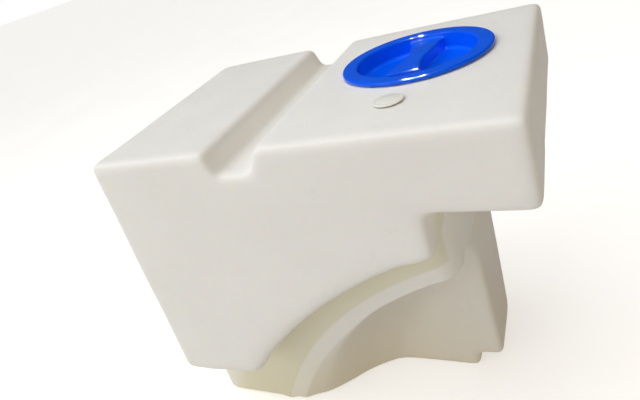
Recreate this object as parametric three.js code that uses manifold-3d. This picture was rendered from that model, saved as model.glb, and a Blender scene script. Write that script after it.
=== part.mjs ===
// Wheel-arch fresh water tank for a van: a rotomoulded polyethylene shell stepped to fit over the
// wheel housing, with a large screw-in hatch lid, a blanked port and pipe fittings in its left end.
// Millimetres, +Z up. X = 0 is the left end, Y = 0 the front face (the side that meets the van
// wall) and Z = 0 the underside that the tank rests on. The group is then moved so that its origin
// lies on the underside, below the middle of the strap groove and half way from front to back.
import * as THREE from "three";
import { mergeVertices } from "three/addons/utils/BufferGeometryUtils.js";
import Module from "manifold-3d";

const wasm = await Module();
wasm.setup();

// ---- tank dimensions --------------------------------------------------------
const WIDTH = 549;
const DEPTH = 389; // front to back
const HEIGHT = 492;
const WALL = 5; // moulded wall thickness
const EDGE = 11; // rounding of the long edges
const SLAB_Z = 394; // underside of the overhang
const FRONT_Z = 119; // underside of the front block
const WALL_X = 438; // right wall under the overhang
const FRONT_WALL_X = WALL_X + 0.7; // right end of the front block, at the arch
const FOOT_X = 447; // right wall near the floor, with the mould's draft
const STEP_Y = 65; // depth of the front block, where the second face stands
const FRONT_OVERLAP = 45; // how far the front block runs on into the rear body
const RECESS_Y = 171; // inner wall of the wheel recess
const NOTCH = { x: 409, z: 27.5, lean: 3 }; // foot notch at the right end
const GROOVE = { left: 193, floorLeft: 203, floorRight: 247, right: 265, z: 460 }; // strap groove

// Arch circles, seen from the front.
const FRONT_ARCH = { x: 672.8, z: -310.4, r: 689.3 }; // edge of the front block
const FACE_ARCH = { x: 620.2, z: -241, r: 532.3 }; // edge of the second face
const RECESS_ARCH = { x: 581.6, z: -101.9, r: 400 }; // mouth of the deep wheel recess
const BAND = { width: 24, fall: 4 }; // bevelled band round the second arch
const LEDGE = { reach: 44, fall: 15 }; // sloped crescent behind the band
// Cove between the recess roof and its inner wall: where it starts, its reach near the floor and
// under the roof, and the directions from the arch centre (x, z) in which those reaches hold.
const COVE = {
  y: 70,
  foot: 120,
  roof: 70,
  footDirection: [-384.6, -RECESS_ARCH.z],
  roofDirection: [-143.6, 372.9],
  lean: 0.25, // straight share of the section at the foot; none under the roof
  steps: 7,
};
const BACK_CORNER = { top: 48, foot: 142, below: 10 }; // upright corner, back of the right wall
const FRONT_CORNER = { r: 20, tall: 380 }; // upright corner, second face to right wall
const FAR = { x: 900, y: -400, z: -460 }; // limits of cutting solids, clear of the tank

// ---- hatch and port dimensions ----------------------------------------------
const LID = { x: 405, y: 227, r: 97.7, pocket: 78, flange: 5.5, seat: 0.7 };
const LID_TOP = LID.seat + LID.flange; // above the tank's top face
const POCKET_FLOOR = -17;
const HATCH_R = 86.4; // hole in the tank
const COLLAR_R = 95.3; // flange of the hatch collar
const SEAT_Z = HEIGHT - 6.8; // seat of the hatch collar
const BACK_Z = SEAT_Z - WALL; // underside of the seat
const SCREWS = { count: 8, pitchR: 91.4, holeR: 2.4 };
// Two-start hatch thread; angles in degrees, rib sections are [radius, height].
const HATCH_THREAD = {
  lead: 12,
  sweep: 165,
  starts: [0, 180],
  inner: [[79.2, -0.55], [82.1, -1.3], [82.1, 1.3], [79.2, 0.55]],
  outer: [[78.3, -1.3], [81.2, -0.55], [81.2, 0.55], [78.3, 1.3]],
};
const PORT = { x: 403.6, y: 83.5, r: 17.8, hole: 13.3, boss: 22, bossDepth: 12, segments: 32 };
const HATCH_AT = [LID.x, LID.y, HEIGHT];
const PORT_AT = [PORT.x, PORT.y, HEIGHT];

// ---- left end dimensions ----------------------------------------------------
// All values but y, z, lengths and segments are radii; nut is the radius to its corners.
const FITTINGS = [
  {
    name: "filler", y: 300, z: 420, hole: 21.6, body: 21.3, bore: 16, flange: 31,
    tail: 20, tailBore: 16.5, tailLength: 44, nut: 31, nutLength: 8, segments: 28,
  },
  {
    name: "vent", y: 225, z: 452, hole: 8.7, body: 8.4, bore: 4.2, flange: 13.5,
    tail: 5.6, tailBore: 3.6, tailLength: 24, nut: 13, nutLength: 8, segments: 16,
  },
  {
    name: "outlet", y: 300, z: 42, hole: 10.7, body: 10.4, bore: 5.2, flange: 16,
    tail: 6.8, tailBore: 4.6, tailLength: 28, nut: 16, nutLength: 8, segments: 16,
  },
];
const DRAIN = {
  y: 205, z: 34, hole: 13.7, body: 13.4, bore: 9.6, flange: 19,
  nut: 19, nutLength: 7, segments: 24,
};
const DRAIN_THREAD = { lead: 3, start: 0, sweep: 340 };
const CLEARANCE = 0.3; // gap round and under seals and nuts
const FLANGE_Z = 1.8; // underside of a fitting's flange, outside the left end

const MATERIALS = {
  shell: { color: 0xe6e4dc, roughness: 0.45 },
  fitting: { color: 0x26282b, roughness: 0.5 },
  seal: { color: 0x18191a, roughness: 0.8 },
  nut: { color: 0x2e3033, roughness: 0.55 },
  drainPlug: { color: 0x1d4fa8, roughness: 0.45 },
  collar: { color: 0xd9d8d2, roughness: 0.4 },
  gasket: { color: 0x202122, roughness: 0.85 },
  backing: { color: 0xcfcec8, roughness: 0.5 },
  screw: { color: 0xc4c6c8, roughness: 0.3, metalness: 0.9 },
  lid: { color: 0x0a5ae1, roughness: 0.18 },
  lidSeal: { color: 0x17181a, roughness: 0.8 },
  portPlug: { color: 0xe9e7dc, roughness: 0.25 },
  portSeal: { color: 0xbdbbb2, roughness: 0.7 },
};

// ---- meshes and solids ------------------------------------------------------
function solid(geometry) {
  const loose = geometry.index ? geometry.toNonIndexed() : geometry.clone();
  loose.deleteAttribute("normal");
  loose.deleteAttribute("uv");
  const merged = mergeVertices(loose, 1e-4);
  return new wasm.Manifold(
    new wasm.Mesh({
      numProp: 3,
      vertProperties: new Float32Array(merged.attributes.position.array),
      triVerts: new Uint32Array(merged.index.array),
    }),
  );
}

// The solid of an unindexed geometry, with its faces turned outwards if they point inwards.
function outwardSolid(geometry) {
  const made = solid(geometry);
  if (made.volume() >= 0) return made;
  const reversed = geometry.clone();
  const index = [];
  for (let i = 0; i < reversed.attributes.position.count; i += 3) index.push(i, i + 2, i + 1);
  reversed.setIndex(index);
  return solid(reversed);
}

function geometryOf(manifold) {
  const mesh = manifold.getMesh();
  const vertices = new Float32Array(mesh.numVert * 3);
  for (let i = 0; i < mesh.numVert; i++) {
    const start = i * mesh.numProp;
    vertices.set(mesh.vertProperties.subarray(start, start + 3), i * 3);
  }
  const geometry = new THREE.BufferGeometry();
  geometry.setAttribute("position", new THREE.BufferAttribute(vertices, 3));
  geometry.setIndex(new THREE.BufferAttribute(new Uint32Array(mesh.triVerts), 1));
  geometry.computeVertexNormals();
  return geometry;
}

// Moves a solid made about Z at the origin to a place, with its +Z turned along direction.
function placed(manifold, position, direction = [0, 0, 1]) {
  const turn = new THREE.Quaternion().setFromUnitVectors(
    new THREE.Vector3(0, 0, 1),
    new THREE.Vector3(...direction),
  );
  const one = new THREE.Vector3(1, 1, 1);
  const move = new THREE.Matrix4().compose(new THREE.Vector3(...position), turn, one);
  return solid(geometryOf(manifold).applyMatrix4(move));
}

const root = new THREE.Group();
root.name = "wheel_arch_water_tank";
root.position.set(-(GROOVE.floorLeft + GROOVE.floorRight) / 2, -DEPTH / 2, 0);

function addMesh(name, manifold, material) {
  const mesh = new THREE.Mesh(geometryOf(manifold), new THREE.MeshStandardMaterial(material));
  mesh.name = name;
  root.add(mesh);
}

// ---- paths ------------------------------------------------------------------
const vectors = (points) => points.map(([x, y]) => new THREE.Vector2(x, y));

// A closed path whose corners [x, y, radius] are rounded; no radius keeps the point.
function rounded(corners) {
  const arcStep = THREE.MathUtils.degToRad(22.5);
  const n = corners.length;
  return corners.flatMap(([x, y, radius = 0], i) => {
    const corner = new THREE.Vector2(x, y);
    if (!radius) return [corner];
    const [before, after] = [corners[(i + n - 1) % n], corners[(i + 1) % n]].map((other) =>
      new THREE.Vector2(other[0], other[1]).sub(corner).normalize(),
    );
    const half = Math.acos(THREE.MathUtils.clamp(before.dot(after), -1, 1)) / 2;
    const setback = radius / Math.tan(half);
    const bisector = before.clone().add(after).normalize();
    const centre = corner.clone().addScaledVector(bisector, radius / Math.sin(half));
    const start = corner.clone().addScaledVector(before, setback).sub(centre);
    const end = corner.clone().addScaledVector(after, setback).sub(centre);
    const turn = Math.atan2(start.x * end.y - start.y * end.x, start.dot(end));
    const count = Math.max(1, Math.round(Math.abs(turn) / arcStep));
    return Array.from({ length: count + 1 }, (_, k) => {
      const angle = (turn * k) / count;
      return new THREE.Vector2(
        centre.x + start.x * Math.cos(angle) - start.y * Math.sin(angle),
        centre.y + start.x * Math.sin(angle) + start.y * Math.cos(angle),
      );
    });
  });
}

// The path moved into its own material, for the inside of a moulded wall.
function inset(path, distance) {
  const n = path.length;
  const side = THREE.ShapeUtils.area(path) > 0 ? 1 : -1;
  return path.map((point, i) => {
    const arriving = point.clone().sub(path[(i + n - 1) % n]).normalize();
    const leaving = path[(i + 1) % n].clone().sub(point).normalize();
    const normal = new THREE.Vector2(-leaving.y, leaving.x);
    const mitre = new THREE.Vector2(-arriving.y, arriving.x).add(normal).normalize();
    const cosine = Math.max(0.5, mitre.dot(normal));
    return point.clone().addScaledVector(mitre, (side * distance) / cosine);
  });
}

// Points of a circle's upper half between two X positions.
function arc(circle, x0, x1, steps) {
  const a0 = Math.acos((x0 - circle.x) / circle.r);
  const a1 = Math.acos((x1 - circle.x) / circle.r);
  return Array.from({ length: steps + 1 }, (_, i) => {
    const angle = a0 + ((a1 - a0) * i) / steps;
    return [circle.x + circle.r * Math.cos(angle), circle.z + circle.r * Math.sin(angle)];
  });
}

// X-Z outline of the space under an arch, from its left side to far right and below the floor.
// The arc starts at the given share of the radius left of the centre.
function underArch(circle, share, steps) {
  const left = circle.x - circle.r * share;
  return vectors([
    ...arc(circle, left, circle.x, steps),
    [FAR.x, circle.z + circle.r],
    [FAR.x, FAR.z],
    [left, FAR.z],
  ]);
}

const grown = (circle, distance) => ({ ...circle, r: circle.r + distance });

// ---- basic solids -----------------------------------------------------------
// An X-Z outline extruded from y0 to y1; both ends draw in by size over a depth of thick.
function alongY(path, y0, y1, { size = 0, thick = size, segments = 1 } = {}) {
  const geometry = new THREE.ExtrudeGeometry(new THREE.Shape(path), {
    depth: y1 - y0 - 2 * thick,
    steps: 1,
    bevelEnabled: size > 0,
    bevelSize: size,
    bevelOffset: -size,
    bevelThickness: thick,
    bevelSegments: segments,
  });
  geometry.translate(0, 0, thick);
  geometry.rotateX(Math.PI / 2);
  geometry.translate(0, y1, 0);
  return solid(geometry);
}

// Revolved about Z. The profile [radius, z] starts and ends on the axis, or closes on itself.
function turned(profile, segments = 36) {
  const revolve = (points) =>
    solid(new THREE.LatheGeometry(vectors(points), segments).rotateX(Math.PI / 2));
  const made = revolve(profile);
  return made.volume() < 0 ? revolve([...profile].reverse()) : made;
}

const ring = (r0, r1, z0, z1, segments) =>
  turned([[r0, z0], [r1, z0], [r1, z1], [r0, z1], [r0, z0]], segments);
const disc = (r, z0, z1, segments) => turned([[0, z0], [r, z0], [r, z1], [0, z1]], segments);

function box(x0, x1, y0, y1, z0, z1) {
  const geometry = new THREE.BoxGeometry(x1 - x0, y1 - y0, z1 - z0);
  geometry.translate((x0 + x1) / 2, (y0 + y1) / 2, (z0 + z1) / 2);
  return solid(geometry);
}

// A thread rib: its section [radius, height] is extruded straight, then wrapped round the axis
// and raised along the helix. Angles are in degrees.
function rib(section, { lead, start, sweep, z }) {
  const geometry = new THREE.ExtrudeGeometry(new THREE.Shape(vectors(section)), {
    depth: 1,
    steps: 16,
    bevelEnabled: false,
  });
  const points = geometry.attributes.position;
  const startAngle = THREE.MathUtils.degToRad(start);
  const sweepAngle = THREE.MathUtils.degToRad(sweep);
  for (let i = 0; i < points.count; i++) {
    const along = points.getZ(i);
    const radius = points.getX(i);
    const angle = startAngle + sweepAngle * along;
    const rise = (lead * sweepAngle * along) / (2 * Math.PI);
    points.setXYZ(
      i,
      radius * Math.cos(angle),
      radius * Math.sin(angle),
      z + points.getY(i) + rise,
    );
  }
  return outwardSolid(geometry);
}

// ---- tank body --------------------------------------------------------------
const TOP_LEFT = [0, HEIGHT, 12];
// Overhang and top with the strap groove, from the right wall's top back to the left.
const OVERHANG = [
  [WALL_X, SLAB_Z, 9],
  [WIDTH, SLAB_Z, 19],
  [WIDTH, HEIGHT, 13],
  [GROOVE.right, HEIGHT, 12],
  [GROOVE.floorRight, GROOVE.z, 8],
  [GROOVE.floorLeft, GROOVE.z, 8],
  [GROOVE.left, HEIGHT, 13],
];
const archFootX =
  FRONT_ARCH.x - Math.sqrt(FRONT_ARCH.r ** 2 - (FRONT_Z - FRONT_ARCH.z) ** 2);
const archEndZ =
  FRONT_ARCH.z + Math.sqrt(FRONT_ARCH.r ** 2 - (WALL_X - FRONT_ARCH.x) ** 2);
const frontOutline = rounded([
  TOP_LEFT,
  [0, FRONT_Z, 16],
  [archFootX, FRONT_Z, 20],
  ...arc(FRONT_ARCH, 152, WALL_X - 40, 10),
  [FRONT_WALL_X, archEndZ, 22],
  ...OVERHANG,
]);
const rearOutline = rounded([
  TOP_LEFT,
  [0, 0, 16],
  [NOTCH.x, 0, 11.5],
  [NOTCH.x + NOTCH.lean, NOTCH.z, 5],
  [FOOT_X, NOTCH.z, 12],
  ...OVERHANG,
]);

// Space under an arch, from well in front of the tank back to y1.
const archSpace = (circle, y1, bevel) =>
  alongY(underArch(circle, 0.985, 22), FAR.y, y1, bevel);

// The deep wheel recess: its mouth runs straight in to the cove, which then closes towards the
// inner wall, wider near the floor than under the roof.
function recess(inward) {
  const circle = grown(RECESS_ARCH, inward);
  const mouthY = COVE.y + inward;
  const innerY = RECESS_Y + inward;
  const geometry = new THREE.ExtrudeGeometry(new THREE.Shape(underArch(circle, 0.99, 20)), {
    depth: 1,
    steps: COVE.steps,
    bevelEnabled: false,
  });
  const angleOf = ([x, z]) => Math.atan2(z, x);
  const footAngle = angleOf(COVE.footDirection);
  const roofAngle = angleOf(COVE.roofDirection);
  const points = geometry.attributes.position;
  for (let i = 0; i < points.count; i++) {
    let x = points.getX(i);
    let z = points.getY(i);
    const depthShare = Math.sin((points.getZ(i) * Math.PI) / 2);
    const dx = x - circle.x;
    const dz = z - circle.z;
    // Only points on the arch itself draw in; the far outline stays.
    if (Math.abs(Math.hypot(dx, dz) - circle.r) < 0.01) {
      const climb = (footAngle - Math.atan2(dz, dx)) / (footAngle - roofAngle);
      const roofShare = THREE.MathUtils.clamp(climb, 0, 1);
      const lean = COVE.lean * (1 - roofShare);
      const curve = 1 - Math.sqrt(1 - depthShare * depthShare);
      const closing = lean * depthShare + (1 - lean) * curve;
      const radius = circle.r - closing * (COVE.foot + (COVE.roof - COVE.foot) * roofShare);
      x = circle.x + (dx / circle.r) * radius;
      z = circle.z + (dz / circle.r) * radius;
    }
    // Depth is stored reversed, because the turn below negates it.
    points.setXYZ(i, x, z, (innerY - mouthY) * (1 - depthShare));
  }
  geometry.rotateX(Math.PI / 2);
  geometry.translate(0, innerY, 0);
  return outwardSolid(geometry).add(archSpace(circle, mouthY + 0.4)); // overlaps the cove
}

// X of the right wall at a height; it leans out towards the floor.
const wallAt = (z) => WALL_X + ((FOOT_X - WALL_X) * (SLAB_Z - z)) / (SLAB_Z - NOTCH.z);

// What rounding an upright corner takes off: the block less the round, both moved to the
// rounding's axis, whose [x, y] depends on z.
function cornerCut(round, block, axisAt) {
  for (const geometry of [round, block]) {
    const points = geometry.attributes.position;
    for (let i = 0; i < points.count; i++) {
      const z = points.getZ(i);
      const [x, y] = axisAt(z);
      points.setXYZ(i, points.getX(i) + x, points.getY(i) + y, z);
    }
  }
  return solid(block).subtract(solid(round));
}

// The rounding follows the wall's draft and widens towards the floor.
function backCornerCut(inward) {
  const { top, foot, below } = BACK_CORNER;
  const tall = SLAB_Z + below;
  const round = new THREE.CylinderGeometry(top - inward, foot - inward, tall, 28);
  round.rotateX(Math.PI / 2);
  round.translate(0, 0, tall / 2 - below);
  const block = new THREE.BoxGeometry(180, 180, SLAB_Z + 5);
  block.translate(90, 90, (SLAB_Z + 5) / 2 - 5);
  return cornerCut(round, block, (z) => {
    const radius = foot + ((top - foot) * (z + below)) / tall;
    return [wallAt(z) - radius, DEPTH - radius];
  });
}

function frontCornerCut(inward) {
  const { r, tall } = FRONT_CORNER;
  const round = new THREE.CylinderGeometry(r - inward, r - inward, tall, 24);
  round.rotateX(Math.PI / 2);
  round.translate(0, 0, SLAB_Z - tall / 2);
  const block = new THREE.BoxGeometry(50, 50, tall);
  block.translate(25, -25, SLAB_Z - tall / 2);
  return cornerCut(round, block, (z) => [wallAt(z) - r, STEP_Y + r]);
}

// The tank as a full solid, with its surface moved inward: 0 for the outside, WALL for the inside.
function body(inward) {
  const edge = { size: EDGE - inward * 1.2, segments: inward ? 1 : 3 };
  const outline = (path) => (inward ? inset(path, inward) : path);
  const front = alongY(outline(frontOutline), inward, STEP_Y + FRONT_OVERLAP, edge);
  const rear = alongY(outline(rearOutline), STEP_Y + inward, DEPTH - inward, edge);
  const faceArch = grown(FACE_ARCH, inward);
  const bandY = STEP_Y + BAND.fall + inward;
  const band = archSpace(grown(FACE_ARCH, BAND.width + inward), bandY, {
    size: BAND.width,
    thick: BAND.fall,
  });
  const ledge = archSpace(faceArch, bandY + LEDGE.fall, {
    size: LEDGE.reach,
    thick: LEDGE.fall,
  });
  return front.add(
    rear
      .subtract(band)
      .subtract(ledge)
      .subtract(recess(inward).intersect(archSpace(faceArch, RECESS_Y + 40)))
      .subtract(backCornerCut(inward))
      .subtract(frontCornerCut(inward)),
  );
}

// ---- fittings of the left end -----------------------------------------------
// These are made about Z, with z = 0 on the left end's face and +Z pointing out of the tank.
const onLeftEnd = (manifold, { y, z }) => placed(manifold, [0, y, z], [-1, 0, 0]);

// Seal under the flange of a fitting.
const flangeSeal = ({ body: stem, flange, segments }) =>
  ring(stem + CLEARANCE, flange - 1, CLEARANCE, 1.5, segments);

// Hexagonal nut on the inside of the wall.
function insideNut({ nut, nutLength, body: stem, segments }) {
  const corners = Array.from({ length: 6 }, (_, i) => {
    const angle = (i * Math.PI) / 3;
    return [nut * Math.cos(angle), nut * Math.sin(angle)];
  });
  const geometry = new THREE.ExtrudeGeometry(new THREE.Shape(vectors(corners)), {
    depth: nutLength,
    bevelEnabled: false,
  });
  geometry.translate(0, 0, -(WALL + CLEARANCE + nutLength));
  return solid(geometry).subtract(disc(stem + CLEARANCE, -40, 10, segments));
}

// Tail with two hose barbs, a round flange and the body that passes through the wall.
function fittingTail({ body: stem, bore, flange, tail, tailBore, tailLength, segments }) {
  const inner = -(WALL + 13);
  const face = FLANGE_Z + 5; // outer face of the flange
  return turned(
    [
      [bore, inner],
      [stem, inner],
      [stem, FLANGE_Z],
      [flange, FLANGE_Z],
      [flange, face - 0.8],
      [flange - 0.8, face],
      [tail - 0.6, face],
      [tail - 0.6, face + tailLength * 0.35],
      [tail + 0.9, face + tailLength * 0.37],
      [tail - 0.5, face + tailLength * 0.66],
      [tail + 0.9, face + tailLength * 0.68],
      [tail - 0.9, face + tailLength],
      [tailBore, face + tailLength],
      [tailBore, face],
      [bore, face - 3],
      [bore, inner],
    ],
    segments,
  );
}

// Threaded bush through the wall.
function drainBush({ body: stem, bore, flange, segments }) {
  const inner = -(WALL + 12);
  const bush = turned(
    [
      [bore, inner],
      [stem, inner],
      [stem, FLANGE_Z],
      [flange, FLANGE_Z],
      [flange, 8],
      [flange - 1, 9],
      [bore, 9],
      [bore, inner],
    ],
    segments,
  );
  const section = [[8.5, -0.35], [9.9, -0.75], [9.9, 0.75], [8.5, 0.35]];
  return bush.add(rib(section, { ...DRAIN_THREAD, z: 2.6 }));
}

// Screw plug: threaded stem, flange and a bar grip.
function drainPlug() {
  const profile = [
    [0, -6], [7.2, -6], [7.8, -5], [7.8, 11.2],
    [16.5, 11.2], [16.5, 15], [15.5, 16], [0, 16],
  ];
  const section = [[7.5, -0.75], [9.2, -0.4], [9.2, 0.4], [7.5, 0.75]];
  return turned(profile, DRAIN.segments)
    .add(rib(section, { ...DRAIN_THREAD, z: 1.1 }))
    .add(box(-2.6, 2.6, -13, 13, 15.5, 27));
}

// ---- hatch ------------------------------------------------------------------
// Hatch parts are made about Z with z = 0 on the tank's top face.
function screwCentres(x = 0, y = 0) {
  return Array.from({ length: SCREWS.count }, (_, i) => {
    const angle = ((i + 0.5) * 2 * Math.PI) / SCREWS.count;
    return [x + SCREWS.pitchR * Math.cos(angle), y + SCREWS.pitchR * Math.sin(angle)];
  });
}

const cutAt = (part, tool, centres) =>
  centres.reduce((rest, [x, y]) => rest.subtract(placed(tool, [x, y, 0])), part);

const screwHole = (z0, z1) => disc(SCREWS.holeR, z0, z1, 8);

function withHatchThread(part, section, z) {
  const { lead, sweep, starts } = HATCH_THREAD;
  return starts.reduce((sum, start) => sum.add(rib(section, { lead, start, sweep, z })), part);
}

function hatchCollar() {
  const sleeve = turned([
    [81.8, -30],
    [85.8, -30],
    [85.8, -4.9],
    [COLLAR_R, -4.9],
    [COLLAR_R, -0.3],
    [81.8, -0.3],
    [81.8, -30],
  ]);
  const threaded = withHatchThread(sleeve, HATCH_THREAD.inner, -18.2);
  const countersink = turned([[0, -2.9], [2.2, -2.9], [3.7, -0.9], [3.7, 2], [0, 2]], 10);
  const drilled = cutAt(threaded, screwHole(-20, 5), screwCentres());
  return cutAt(drilled, countersink, screwCentres());
}

// Ring clamped under the seat by the collar screws.
function backingRing() {
  const top = BACK_Z - HEIGHT - 0.3;
  return cutAt(ring(86.7, 99, top - 6, top), screwHole(-30, 5), screwCentres());
}

// Countersunk screw with a straight slot.
function collarScrew() {
  const profile = [[0, -21], [2.0, -21], [2.0, -2.6], [3.4, -0.95], [0, -0.6]];
  return turned(profile, 10).subtract(box(-3, 3, -0.5, 0.5, -1.6, 1));
}

// Grip bar across the pocket, waisted in the middle and flared at both ends; its front end
// stops short of the rim and leaves a finger gap.
function lidGrip() {
  // [x, y]
  const outline = [
    [20.5, 77], [19.2, 56], [17.6, 40], [13.9, 17], [10.6, 0], [10.2, -22],
    [12.4, -44], [10.4, -49], [-24, -50], [-26.3, -46], [-25.2, -36], [-18.6, -17],
    [-13.8, 0], [-14, 17], [-15.9, 42], [-18.6, 60], [-20.5, 77],
  ];
  const bevel = 2.5;
  const base = POCKET_FLOOR - 2;
  const top = LID_TOP - 5.6;
  const geometry = new THREE.ExtrudeGeometry(new THREE.Shape(vectors(outline)), {
    depth: top - base - bevel,
    steps: 1,
    bevelEnabled: true,
    bevelSize: bevel,
    bevelOffset: -bevel,
    bevelThickness: bevel,
    bevelSegments: 2,
  });
  geometry.translate(0, 0, base);
  return solid(geometry).intersect(disc(77, base, LID_TOP - 1, 44));
}

function hatchLid() {
  const dish = turned(
    [
      // underside and skirt
      [0, POCKET_FLOOR - 4],
      [72.6, POCKET_FLOOR - 4],
      [75.2, POCKET_FLOOR - 6.5],
      [75.2, -29.5],
      [77.6, -29.5],
      [78.6, -28.5],
      [78.6, -3.8],
      [81, -1.4],
      // flange
      [81, LID.seat + 1.6],
      [84.6, LID.seat + 1.6],
      [84.6, LID.seat],
      [LID.r - 1.5, LID.seat],
      [LID.r, LID.seat + 1.5],
      [LID.r, LID_TOP - 2.6],
      [LID.r - 0.9, LID_TOP - 0.8],
      [LID.r - 3, LID_TOP],
      // pocket
      [LID.pocket + 3, LID_TOP],
      [LID.pocket + 0.6, LID_TOP - 1],
      [LID.pocket - 0.8, LID_TOP - 3.4],
      [75.6, POCKET_FLOOR + 5],
      [74.3, POCKET_FLOOR + 1.5],
      [70.8, POCKET_FLOOR],
      [0, POCKET_FLOOR],
    ],
    44,
  );
  return withHatchThread(dish, HATCH_THREAD.outer, -21.2).add(lidGrip());
}

// ---- blanked port -----------------------------------------------------------
function portPlug() {
  const profile = [
    [0, -16], [11.4, -16], [12.9, -14.4], [12.9, -13], [11.8, -12.4], [11.8, -0.6],
    [12.6, 1.7], [PORT.r, 1.7], [PORT.r, 3.4], [PORT.r - 1.6, 4.6], [0, 5.2],
  ];
  return turned(profile, PORT.segments);
}

// ---- tank shell -------------------------------------------------------------
function tankShell() {
  const above = HEIGHT + 5;
  const bossTop = HEIGHT - WALL / 2;
  const atHatch = (part) => placed(part, [LID.x, LID.y, 0]);
  const atPort = (part) => placed(part, [PORT.x, PORT.y, 0]);
  const hollow = body(0).subtract(body(WALL));
  const seated = hollow
    .add(atHatch(disc(103, BACK_Z, bossTop)))
    .subtract(atHatch(disc(COLLAR_R + 0.6, SEAT_Z, above)))
    .subtract(atHatch(disc(HATCH_R, HEIGHT - 45, above)));
  const hole = screwHole(BACK_Z - 5, SEAT_Z + 5);
  const ported = cutAt(seated, hole, screwCentres(LID.x, LID.y))
    .add(atPort(disc(PORT.boss, HEIGHT - PORT.bossDepth, bossTop, PORT.segments)))
    .subtract(atPort(disc(PORT.hole, HEIGHT - 30, above, PORT.segments)));
  return [...FITTINGS, DRAIN].reduce(
    (rest, f) => rest.subtract(onLeftEnd(disc(f.hole, -20, 10, f.segments), f)),
    ported,
  );
}

// ---- assembly ---------------------------------------------------------------
for (const fitting of FITTINGS) {
  const { name } = fitting;
  addMesh(`${name}_tail`, onLeftEnd(fittingTail(fitting), fitting), MATERIALS.fitting);
  addMesh(`${name}_seal`, onLeftEnd(flangeSeal(fitting), fitting), MATERIALS.seal);
  addMesh(`${name}_nut`, onLeftEnd(insideNut(fitting), fitting), MATERIALS.nut);
}

const plugSeal = ring(10.4, 15.4, 9.3, 10.9, DRAIN.segments);
addMesh("drain_bush", onLeftEnd(drainBush(DRAIN), DRAIN), MATERIALS.fitting);
addMesh("drain_bush_seal", onLeftEnd(flangeSeal(DRAIN), DRAIN), MATERIALS.seal);
addMesh("drain_nut", onLeftEnd(insideNut(DRAIN), DRAIN), MATERIALS.nut);
addMesh("drain_plug", onLeftEnd(drainPlug(), DRAIN), MATERIALS.drainPlug);
addMesh("drain_plug_seal", onLeftEnd(plugSeal, DRAIN), MATERIALS.seal);

addMesh("tank_shell", tankShell(), MATERIALS.shell);

addMesh("hatch_collar", placed(hatchCollar(), HATCH_AT), MATERIALS.collar);
addMesh("collar_gasket", placed(ring(86.7, 88.6, -6.5, -5.2), HATCH_AT), MATERIALS.gasket);
addMesh("backing_ring", placed(backingRing(), HATCH_AT), MATERIALS.backing);
screwCentres(LID.x, LID.y).forEach(([x, y], i) => {
  addMesh(`collar_screw_${i + 1}`, placed(collarScrew(), [x, y, HEIGHT]), MATERIALS.screw);
});
addMesh("hatch_lid", placed(hatchLid(), HATCH_AT), MATERIALS.lid);
addMesh("lid_seal", placed(ring(81.6, 84.1, 0, 1.9), HATCH_AT), MATERIALS.lidSeal);

const portSeal = ring(13.4, 16.6, 0.3, 1.4, PORT.segments);
addMesh("port_plug", placed(portPlug(), PORT_AT), MATERIALS.portPlug);
addMesh("port_plug_seal", placed(portSeal, PORT_AT), MATERIALS.portSeal);

export default root;
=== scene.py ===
"""Rotomoulded water tank with a screwed hatch lid, a port plug and four end fittings.

The tank stands on its base with its length along X, its front face towards -Y and +Z up.
Sizes are local millimetres: x from the tank's left end, y from its front face, z from its
base. Meshes are written in metres at the place of the CAD shell.
"""

import math
from collections import namedtuple
from functools import reduce

import bpy
import numpy as np
import openvdb as vdb
from mathutils import Matrix, Vector


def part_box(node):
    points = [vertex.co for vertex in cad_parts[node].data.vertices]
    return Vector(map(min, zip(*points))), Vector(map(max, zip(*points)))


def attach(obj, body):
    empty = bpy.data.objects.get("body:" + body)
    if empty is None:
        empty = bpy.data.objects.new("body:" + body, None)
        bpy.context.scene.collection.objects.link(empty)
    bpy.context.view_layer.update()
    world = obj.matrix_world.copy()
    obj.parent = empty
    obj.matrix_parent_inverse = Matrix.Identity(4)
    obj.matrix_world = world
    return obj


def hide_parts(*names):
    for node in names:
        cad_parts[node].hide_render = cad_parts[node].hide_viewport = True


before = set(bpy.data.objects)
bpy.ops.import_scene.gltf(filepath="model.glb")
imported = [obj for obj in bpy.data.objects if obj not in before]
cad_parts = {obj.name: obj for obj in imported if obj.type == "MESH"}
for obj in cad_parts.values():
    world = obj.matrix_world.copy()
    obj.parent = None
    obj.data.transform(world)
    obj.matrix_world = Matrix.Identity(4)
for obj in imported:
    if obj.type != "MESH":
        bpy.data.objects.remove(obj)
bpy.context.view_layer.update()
scene = bpy.context.scene

# ---------------------------------------------------------------------------
# Driving sizes read from the CAD
# ---------------------------------------------------------------------------
SHELL_LO, SHELL_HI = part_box("tank_shell")
ORIGIN = tuple(c * 1000.0 for c in SHELL_LO)
W, D, H = ((SHELL_HI[i] - SHELL_LO[i]) * 1000.0 for i in range(3))


def centre(node):
    """Centre of a CAD node's box in local millimetres."""
    lo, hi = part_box(node)
    return [((lo[i] + hi[i]) / 2 - SHELL_LO[i]) * 1000.0 for i in range(3)]


def from_origin(at):
    return tuple(o + a for o, a in zip(ORIGIN, at))


LID_AT = (*centre("hatch_lid")[:2], H)
PORT_AT = (*centre("port_plug")[:2], H)
LID_TOP = (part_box("hatch_lid")[1][2] - SHELL_HI[2]) * 1000.0  # above the tank
LID_R = (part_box("hatch_lid")[1][0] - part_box("hatch_lid")[0][0]) * 500.0
UP, LEFT = (0, 0, 1), (-1, 0, 0)

WALL = 5.0
SCREW_HOLE_R = 2.4
SCREW_CIRCLE_R = 91.4
SCREW_PLACES = [
    (SCREW_CIRCLE_R * math.cos(a), SCREW_CIRCLE_R * math.sin(a))
    for a in ((k + 0.5) * math.pi / 4 for k in range(8))
]

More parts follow.
